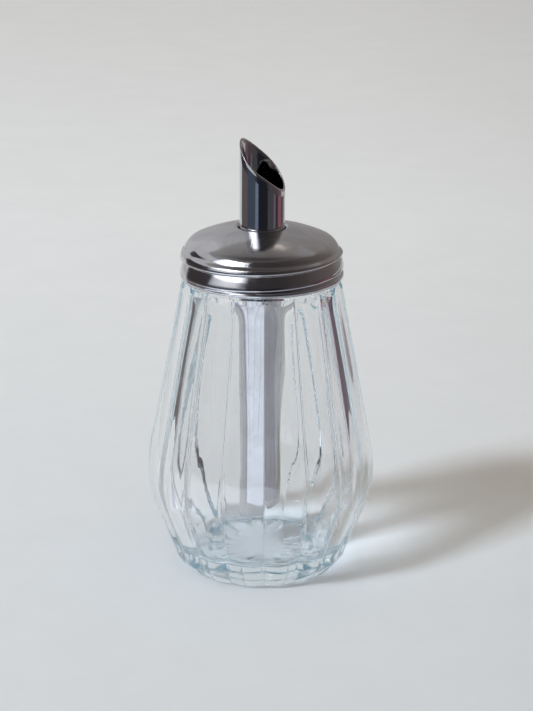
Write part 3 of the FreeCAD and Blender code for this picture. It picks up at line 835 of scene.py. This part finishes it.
# %% Helper: a polished steel
def polished_steel(name, clean, smudged, roughness, mark_scale, mark_depth, line_depth):
    """Steel with a colour that dulls in smudges, and bump from its marks and from hairlines.

    roughness is a pair, clean and smudged; the depths are in millimetres.
    """
    steel, nodes, links = new_material(name)
    shader = nodes["Principled BSDF"]
    shader.inputs["Metallic"].default_value = 1.0
    place = add(nodes, "ShaderNodeTexCoord")
    touched = place_group(nodes, links, smudges, place.outputs["Object"], Size=70.0)
    hair = place_group(nodes, links, hairlines, place.outputs["Object"], Size=190.0, Width=0.01)
    tint = add(nodes, "ShaderNodeMix", data_type="RGBA")
    tint.inputs["A"].default_value = clean
    tint.inputs["B"].default_value = smudged
    gloss = add(
        nodes, "ShaderNodeMapRange", sockets={"To Min": roughness[0], "To Max": roughness[1]}
    )
    parts = add(nodes, "ShaderNodeSeparateXYZ")
    flat = add(nodes, "ShaderNodeCombineXYZ")
    out = add(nodes, "ShaderNodeVectorMath", operation="LENGTH")
    level = add(nodes, "ShaderNodeMath", operation="ADD")
    marks = add(
        nodes, "ShaderNodeTexNoise", noise_dimensions="1D",
        sockets={"Scale": mark_scale, "Detail": 3.0},
    )
    scaled = add(nodes, "ShaderNodeMath", operation="MULTIPLY", sockets={1: mark_depth})
    total = add(nodes, "ShaderNodeMath", operation="MULTIPLY_ADD", sockets={1: -line_depth})
    bump = add(nodes, "ShaderNodeBump", sockets={"Strength": 1.0, "Distance": MM})
    join(
        links,
        (touched.outputs["Smudge"], tint.inputs["Factor"]),
        (tint.outputs["Result"], shader.inputs["Base Color"]),
        (touched.outputs["Smudge"], gloss.inputs["Value"]),
        (gloss.outputs["Result"], shader.inputs["Roughness"]),
        (place.outputs["Object"], parts.inputs["Vector"]),
        (parts.outputs["X"], flat.inputs["X"]),
        (parts.outputs["Y"], flat.inputs["Y"]),
        (flat.outputs["Vector"], out.inputs[0]),
        (out.outputs["Value"], level.inputs[0]),
        (parts.outputs["Z"], level.inputs[1]),
        (level.outputs[0], marks.inputs["W"]),
        (marks.outputs["Fac"], scaled.inputs[0]),
        (hair.outputs["Line"], total.inputs[0]),
        (scaled.outputs[0], total.inputs[2]),
        (total.outputs[0], bump.inputs["Height"]),
        (bump.outputs["Normal"], shader.inputs["Normal"]),
    )
    print(name, "with", len(nodes), "nodes")
    return steel


# %% Lid and tube steel
lid_steel = polished_steel(
    "polished_lid_steel",
    clean=(0.60, 0.60, 0.62, 1.0), smudged=(0.51, 0.495, 0.50, 1.0), roughness=(0.09, 0.20),
    mark_scale=1100.0, mark_depth=0.012, line_depth=0.008,
)
tube_steel = polished_steel(
    "mirror_tube_steel",
    clean=(0.62, 0.62, 0.64, 1.0), smudged=(0.55, 0.55, 0.56, 1.0), roughness=(0.04, 0.10),
    mark_scale=900.0, mark_depth=0.0010, line_depth=0.002,
)

# %% [markdown]
# ## Into the frame
#
# Each dressed piece rides on the imported body and stands in for one imported piece, so what is
# seen and what is weighed keep the same place.

# %% Put the pieces in the frame
for piece, node, material, slot in (
    (jar_piece, "jar", glass, "jar_glass"),
    (lid_piece, "lid", lid_steel, "lid_steel"),
    (tube_piece, "tube", tube_steel, "tube_steel"),
):
    piece.data.materials.append(material)
    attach(piece, "root")
    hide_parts(node)

# %% [markdown]
# ## Studio
#
# The jar stands on a pale floor, with a painted falloff of the key lamp in its colour. A soft
# bluish key lamp high on the left throws the shadow to the right, and a weak warm world fills
# it. Glass and polished steel have no colour of their own to show, so what they mirror matters
# as much as the lamps do: pale walls behind, dark ones in front. These walls are glowing cards,
# painted reflections that only rays from a mirror or through glass see, so they don't change the
# light.

# %% Floor: plain paint with a faint mottle, and a painted falloff of the key lamp
def plain_mesh(name, points, faces):
    """A mesh from a short list of points, put into the scene."""
    mesh = bpy.data.meshes.new(name)
    mesh.from_pydata(points, [], faces)
    mesh.update()
    thing = bpy.data.objects.new(name, mesh)
    bpy.context.collection.objects.link(thing)
    return thing


FLOOR_REACH = 6.0
FLOOR_DROP = 0.00005
floor = plain_mesh(
    "studio_floor",
    [
        (x * FLOOR_REACH, y * FLOOR_REACH, -FLOOR_DROP)
        for x, y in ((-1, -1), (1, -1), (1, 1), (-1, 1))
    ],
    [(0, 1, 2, 3)],
)
floor_paint, nodes, links = new_material("floor_paint")
shader = nodes["Principled BSDF"]
shader.inputs["Roughness"].default_value = 0.9
shader.inputs["Specular IOR Level"].default_value = 0.1
place = add(nodes, "ShaderNodeTexCoord")
parts = add(nodes, "ShaderNodeSeparateXYZ")
# depth and side paint the key lamp's falloff into the colour, darker towards the camera and to the
# right; the mottle is the paint's own faint grain.
depth, side, mottle = (
    add(
        nodes, "ShaderNodeMapRange",
        sockets=dict(zip(("From Min", "From Max", "To Min", "To Max"), ends)),
    )
    for ends in ((-0.15, 0.45, 0.70, 0.90), (0.05, 0.35, 1.0, 0.86), (0.3, 0.7, 0.985, 1.015))
)
brushed = add(
    nodes, "ShaderNodeTexNoise", sockets={"Scale": 35.0, "Detail": 5.0, "Roughness": 0.65}
)
shaded = add(nodes, "ShaderNodeMath", operation="MULTIPLY")
level = add(nodes, "ShaderNodeMath", operation="MULTIPLY")
join(
    links,
    (place.outputs["Object"], parts.inputs["Vector"]),
    (parts.outputs["Y"], depth.inputs["Value"]),
    (parts.outputs["X"], side.inputs["Value"]),
    (place.outputs["Object"], brushed.inputs["Vector"]),
    (brushed.outputs["Fac"], mottle.inputs["Value"]),
    (depth.outputs["Result"], shaded.inputs[0]),
    (side.outputs["Result"], shaded.inputs[1]),
    (shaded.outputs[0], level.inputs[0]),
    (mottle.outputs["Result"], level.inputs[1]),
    (level.outputs[0], shader.inputs["Base Color"]),
)
floor.data.materials.append(floor_paint)
floor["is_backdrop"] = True
print("floor", 2 * FLOOR_REACH, "m wide")


# %% Key lamp
AIM_HEIGHT = 0.07


def around_object(azimuth, elevation, distance):
    """A place seen from the object; azimuth 0 is towards the camera and 90 to its right."""
    a, e = math.radians(azimuth), math.radians(elevation)
    return (
        distance * math.sin(a) * math.cos(e),
        -distance * math.cos(a) * math.cos(e),
        AIM_HEIGHT + distance * math.sin(e),
    )


KEY_AZIMUTH = -52
KEY_ELEVATION = 41
KEY_DISTANCE = 2.6
KEY_SIZE = 0.42
KEY_POWER = 52.0
KEY_PLACE = Vector(around_object(KEY_AZIMUTH, KEY_ELEVATION, KEY_DISTANCE))
lamp_data = bpy.data.lights.new("key_softbox", "AREA")
lamp_data.shape = "SQUARE"
lamp_data.size = KEY_SIZE
lamp_data.energy = KEY_POWER
lamp_data.color = (0.76, 0.88, 1.0)
lamp = bpy.data.objects.new("key_softbox", lamp_data)
lamp.location = KEY_PLACE
lamp.rotation_mode = "QUATERNION"
lamp.rotation_quaternion = (KEY_PLACE - Vector((0, 0, AIM_HEIGHT))).to_track_quat("Z", "Y")
bpy.context.collection.objects.link(lamp)
print("key lamp at", [round(v, 2) for v in KEY_PLACE])

# %% World: warm fill for the surfaces, a pale backdrop for what is seen in them
world = bpy.data.worlds.new("studio_air")
bpy.context.scene.world = world
world.use_nodes = True
nodes, links = world.node_tree.nodes, world.node_tree.links
air = nodes["Background"]
rays = add(nodes, "ShaderNodeLightPath")
mirrored = add(nodes, "ShaderNodeMath", operation="MAXIMUM")
seen = add(nodes, "ShaderNodeMath", operation="MAXIMUM")
colour = add(nodes, "ShaderNodeMix", data_type="RGBA")
colour.inputs["A"].default_value = (0.47, 0.435, 0.39, 1.0)
colour.inputs["B"].default_value = (0.62, 0.625, 0.64, 1.0)
join(
    links,
    (rays.outputs["Is Camera Ray"], mirrored.inputs[0]),
    (rays.outputs["Is Glossy Ray"], mirrored.inputs[1]),
    (mirrored.outputs[0], seen.inputs[0]),
    (rays.outputs["Is Transmission Ray"], seen.inputs[1]),
    (seen.outputs[0], colour.inputs["Factor"]),
    (colour.outputs["Result"], air.inputs["Color"]),
)


# %% [markdown]
# ### Cards
#
# A card is a piece of upright cylinder round the object, and a painted reflection: it glows
# though it is no lamp, and only mirrors and glass show it. Its colour changes with the azimuth,
# so one card can hold a row of things that a bright room shows: a dark jacket, a chair, a
# pink cloth. A round card hangs overhead as the painted ceiling, and a flat one lies on the
# table as painted light there.
# The colours sit in an attribute on the corners, and an emission shader reads it.

# %% Helpers: cards with colours along them
CARD_COLUMNS = 240
DISC_COLUMNS = 48


def show_card(card, shades, through_glass):
    """Gives a card its glow and lets only mirror rays, or also rays through glass, see it."""
    layer = card.data.color_attributes.new("card_colour", "FLOAT_COLOR", "POINT")
    layer.data.foreach_set("color", np.c_[shades, np.ones(len(shades))].ravel())
    paint, nodes, links = new_material(card.name + "_paint")
    nodes.remove(nodes["Principled BSDF"])
    read = add(nodes, "ShaderNodeAttribute", attribute_name="card_colour")
    glow = add(nodes, "ShaderNodeEmission")
    links.new(read.outputs["Color"], glow.inputs["Color"])
    links.new(glow.outputs["Emission"], nodes["Material Output"].inputs["Surface"])
    card.data.materials.append(paint)
    card.visible_camera = False
    card.visible_diffuse = False
    card.visible_shadow = False
    card.visible_transmission = through_glass
    card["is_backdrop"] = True
    print(card.name, "with", len(card.data.polygons), "faces")


def card_wall(name, stops, radius, low, high, through_glass=False, clutter=0.0, reach=None):
    """A card bent round the axis, with straight blends between its stops.

    Each stop is (azimuth in degrees, red, green, blue). The upper edge has the radius reach, so
    with low equal to high the card lies flat. clutter makes its brightness uneven.
    """
    stops = np.array(stops)
    azimuth = np.linspace(stops[0, 0], stops[-1, 0], CARD_COLUMNS)
    angle = np.radians(azimuth)
    rim = np.stack([radius * np.sin(angle), -radius * np.cos(angle)], 1)
    edge = rim * ((reach or radius) / radius)
    points = np.vstack([
        np.c_[rim, np.full(CARD_COLUMNS, low)],
        np.c_[edge, np.full(CARD_COLUMNS, high)],
    ])
    first = np.arange(CARD_COLUMNS - 1)
    faces = np.stack([first, first + 1, first + 1 + CARD_COLUMNS, first + CARD_COLUMNS], 1)
    shades = np.stack([np.interp(azimuth, stops[:, 0], stops[:, c]) for c in (1, 2, 3)], 1)
    beat = clutter * np.sin(azimuth * 0.9) * np.sin(azimuth * 0.37 + 1.0) * np.sin(azimuth * 2.3)
    shades = shades * (1 + beat)[:, None]
    card = plain_mesh(name, points.tolist(), faces.tolist())
    show_card(card, np.vstack([shades, shades]), through_glass)


def card_disc(name, stops, height):
    """A flat round card; stops are (radius, red, green, blue), with straight blends between."""
    stops = np.array(stops)
    angle = np.radians(np.linspace(0, 360, DISC_COLUMNS + 1)[:-1])
    across = stops[:, :1] * np.cos(angle)
    along = stops[:, :1] * np.sin(angle)
    points = np.stack([across, along, np.full(across.shape, height)], 2).reshape(-1, 3)
    faces = grid_faces(len(stops), DISC_COLUMNS, False)
    shades = np.repeat(stops[:, 1:], DISC_COLUMNS, 0)
    show_card(plain_mesh(name, points.tolist(), faces.tolist()), shades, through_glass=False)


# %% Cards: painted reflection of the room low down, which the spout mirrors, from left to right
ROOM_RADIUS = 0.33
LOW_TOP = 0.06
MIDDLE_TOP = 0.115

BROWN = (0.14, 0.12, 0.12)
NAVY = (0.071, 0.089, 0.122)
SLATE = (0.197, 0.237, 0.325)
BLACK = (0.017, 0.019, 0.025)
TAUPE = (0.074, 0.071, 0.077)
GREY = (0.153, 0.146, 0.168)
PLUM = (0.065, 0.036, 0.05)
PINK = (0.286, 0.13, 0.157)
MAUVE = (0.09, 0.07, 0.086)
ASH = (0.24, 0.21, 0.233)
low_room = [
    (-126, 0.5, 0.5, 0.54), (-122, *BROWN), (-82, *BROWN), (-76, *NAVY), (-36, *NAVY),
    (-33, *SLATE), (-22, *SLATE), (-17, *BLACK), (26, *BLACK), (30, *TAUPE), (57, *TAUPE),
    (61, *GREY), (69, *GREY), (74, *PLUM), (83, *PLUM), (90, *PINK), (110, *PINK),
    (113, *MAUVE), (121, *MAUVE), (127, *ASH), (137, *ASH), (142, 0.5, 0.49, 0.5),
]
card_wall("low_room_card", low_room, ROOM_RADIUS, 0.0, LOW_TOP, clutter=0.9, through_glass=True)

# %% Cards: painted reflections of the room at the lid's height and above
DIM = (0.05, 0.045, 0.05)
WALL = (0.16, 0.135, 0.125)
UPPER_TOP = 0.9
LEFT_TOP = 0.25
middle_room = [
    (-126, 0.06, 0.05, 0.05), (-80, *DIM), (-76, *NAVY), (-36, *NAVY), (-17, *BLACK),
    (26, *BLACK), (40, *TAUPE), (84, 0.1, 0.07, 0.075), (100, 0.17, 0.11, 0.125), (112, *WALL),
]
card_wall(
    "middle_room_card", middle_room, ROOM_RADIUS, LOW_TOP, MIDDLE_TOP,
    clutter=0.6, through_glass=True,
)
front_room = [
    (-22, *DIM), (20, 0.045, 0.04, 0.042), (60, 0.08, 0.07, 0.067), (112, 0.17, 0.145, 0.135),
]
card_wall("upper_front_card", front_room, ROOM_RADIUS, MIDDLE_TOP, UPPER_TOP, through_glass=True)
left_room = [(-128, 0.06, 0.05, 0.05), (-76, *DIM)]
card_wall("left_room_card", left_room, ROOM_RADIUS, MIDDLE_TOP, LEFT_TOP)

# %% Cards: a painted highlight of the key softbox, a painted glint from a lamp on the ceiling, and painted reflections of the right wall and the ceiling
SOFTBOX_RADIUS = 0.34
SOFTBOX_LOW = 0.13
SOFTBOX_MIDDLE = 0.24
SOFTBOX_TOP = 0.62
WALL_RADIUS = 0.6
CEILING_HEIGHT = 0.95
# These stops are a painted highlight: a glowing card, dimmer in its low part, that mirrors show
# where the key lamp's highlight falls; it lights nothing.
softbox = np.array([
    (-84, 0.1, 0.1, 0.12), (-72, 1.2, 1.25, 1.35), (-54, 2.0, 2.05, 2.15),
    (-38, 1.8, 1.85, 1.95), (-27, 0.5, 0.52, 0.56), (-20, 0.06, 0.06, 0.07),
])
for name, strength, low, high in (
    ("painted_softbox_highlight_low_card", 0.55, SOFTBOX_LOW, SOFTBOX_MIDDLE),
    ("painted_softbox_highlight_card", 1.75, SOFTBOX_MIDDLE, SOFTBOX_TOP),
):
    card_wall(name, softbox * (1, strength, strength, strength), SOFTBOX_RADIUS, low, high)
# A small card behind and above the jar, glowing far brighter than white: a painted glint on the
# dome, which lights nothing.
painted_dome_glint = [(163, 3.6, 3.3, 2.7), (176, 3.6, 3.3, 2.7)]
card_wall("painted_dome_glint_card", painted_dome_glint, 0.32, 0.522, 0.54)
# Painted reflection of a wall to the right and behind: a glowing card that lights nothing.
right_wall = [
    (112, *WALL), (140, 0.28, 0.255, 0.245), (175, 0.34, 0.325, 0.325), (200, 0.55, 0.55, 0.57),
]
card_wall("right_wall_card", right_wall, WALL_RADIUS, 0.05, 0.7)
# Painted reflection of the ceiling: a glowing disc overhead, darkest in its middle, that lights
# nothing.
ceiling = [
    (0.001, 0.07, 0.06, 0.06), (0.15, 0.085, 0.075, 0.075), (0.3, 0.13, 0.12, 0.118),
    (0.45, 0.21, 0.2, 0.196), (0.6, 0.29, 0.275, 0.27), (0.85, 0.36, 0.35, 0.35),
]
card_disc("ceiling_card", ceiling, CEILING_HEIGHT)

# %% Card: painted light on the table before the jar, which the tube mirrors and the glass shows: a glowing bright part on the left for the key lamp's sheen, and a grey one on the right
SHEET_INSIDE = 0.06
SHEET_OUTSIDE = 0.32
SHEET_HEIGHT = 0.0006
# These stops are painted light: the bright part glows above white and the grey part stands for
# dimmer floor; the sheet lights nothing.
painted_table_light = [
    (-95, 0.5, 0.5, 0.6), (-88, 0.5, 0.5, 0.6), (-82, 1.2, 1.28, 1.42), (-5, 1.15, 1.24, 1.38),
    (1, 0.45, 0.45, 0.49), (95, 0.44, 0.44, 0.48),
]
card_wall(
    "painted_table_light_card", painted_table_light, SHEET_INSIDE, SHEET_HEIGHT, SHEET_HEIGHT,
    through_glass=True, reach=SHEET_OUTSIDE,
)

# %% [markdown]
# ## Camera and render
#
# A long lens from about 0.9 m, pitched 18 degrees down, keeps the jar's sides nearly upright
# and shows both the spout's opening and the floor of the glass. The lobed glass bends and
# mirrors light many times over, so the bounces are many: with few of them its creases go grey.

# %% Camera
SENSOR_WIDTH = 36.0
FOCAL_LENGTH = 131.64557
PITCH = math.radians(18.16)
ROLL = math.radians(0.4)
DISTANCE = 0.8815
AIM = Vector((0.00177, 0.0, 0.07427))
forward = Vector((0, math.cos(PITCH), -math.sin(PITCH)))
camera_data = bpy.data.cameras.new("camera")
camera_data.sensor_width = SENSOR_WIDTH
camera_data.lens = FOCAL_LENGTH
camera = bpy.data.objects.new("camera", camera_data)
camera.location = AIM - forward * DISTANCE
camera.rotation_mode = "QUATERNION"
camera.rotation_quaternion = (
    (-forward).to_track_quat("Z", "Y") @ Matrix.Rotation(ROLL, 3, "Z").to_quaternion()
)
bpy.context.collection.objects.link(camera)
bpy.context.scene.camera = camera
print("camera at", [round(v, 3) for v in camera.location])

# %% Render settings that belong to the look
BOUNCES = 80
scene = bpy.context.scene
scene.view_settings.view_transform = "Standard"
scene.cycles.max_bounces = BOUNCES
scene.cycles.transmission_bounces = BOUNCES
scene.cycles.glossy_bounces = BOUNCES

# %% [markdown]
# ## Record
#
# The last cell prints the size of the dressed model's box.

# %% Print the size of the dressed model's box
low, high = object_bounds()
print("dressed model, mm:", [round(v / MM, 1) for v in high - low])
